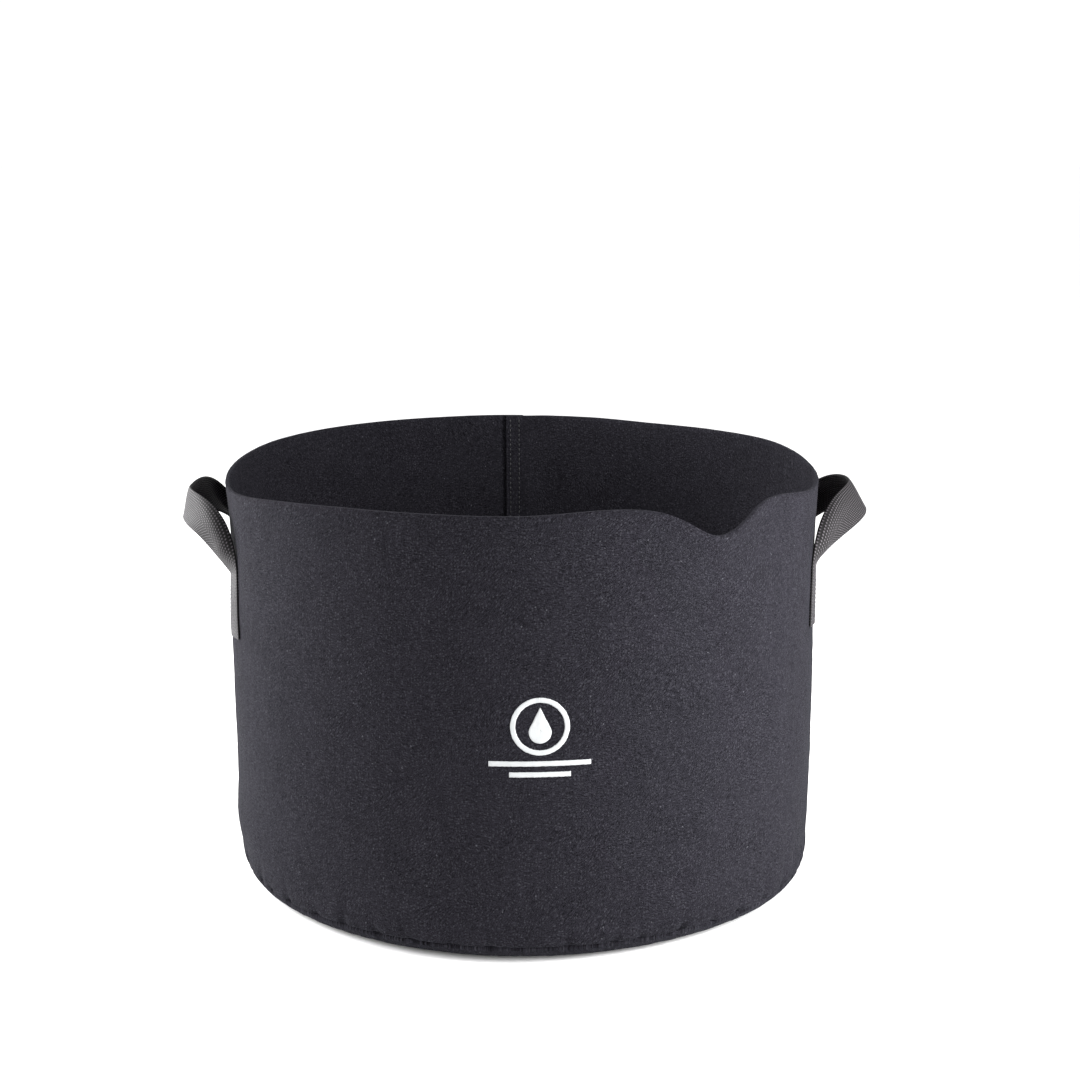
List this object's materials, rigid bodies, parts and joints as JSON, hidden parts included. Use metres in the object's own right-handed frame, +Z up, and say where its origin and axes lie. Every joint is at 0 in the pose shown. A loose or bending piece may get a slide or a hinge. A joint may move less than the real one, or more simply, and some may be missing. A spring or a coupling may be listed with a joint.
{
  "type": "fabric grow bag",
  "caption": "Round open-top felt grow bag with a lapped side seam, a sewn-in round base and a folding webbing loop handle on each side.",
  "frame": {"origin": "on the bag's axis at the ground, under the middle of the base", "axes": "+Z up the bag's axis, -Y the printed front, the two handles on +X and -X"},
  "size_m": [0.4896, 0.4166, 0.292],
  "materials": {
    "felt": "needle-punched felt, matte",
    "webbing": "herringbone woven webbing, slight sheen",
    "thread": "twisted polyester thread",
    "ink": "screen-printed ink, matte"
  },
  "bodies": {
    "bag": {"wall_panel": "felt", "base_panel": "felt", "side_seam_stitches": "thread", "base_seam_stitches": "thread", "left_handle_front_tab": "webbing", "left_handle_rear_tab": "webbing", "right_handle_front_tab": "webbing", "right_handle_rear_tab": "webbing", "left_front_tack_stitches": "thread", "left_rear_tack_stitches": "thread", "right_front_tack_stitches": "thread", "right_rear_tack_stitches": "thread", "printed_mark": "ink"},
    "left_handle": {"left_handle_loop": "webbing"},
    "right_handle": {"right_handle_loop": "webbing"}
  },
  "joints": [
    {"name": "left_handle_fold", "type": "hinge", "parent": "bag", "child": "left_handle", "pos_m": [-0.205, 0, 0.223], "axis": [0, -1, 0], "range_deg": [-5, 115]},
    {"name": "right_handle_fold", "type": "hinge", "parent": "bag", "child": "right_handle", "pos_m": [0.205, 0, 0.223], "axis": [0, 1, 0], "range_deg": [-5, 115]}
  ]
}
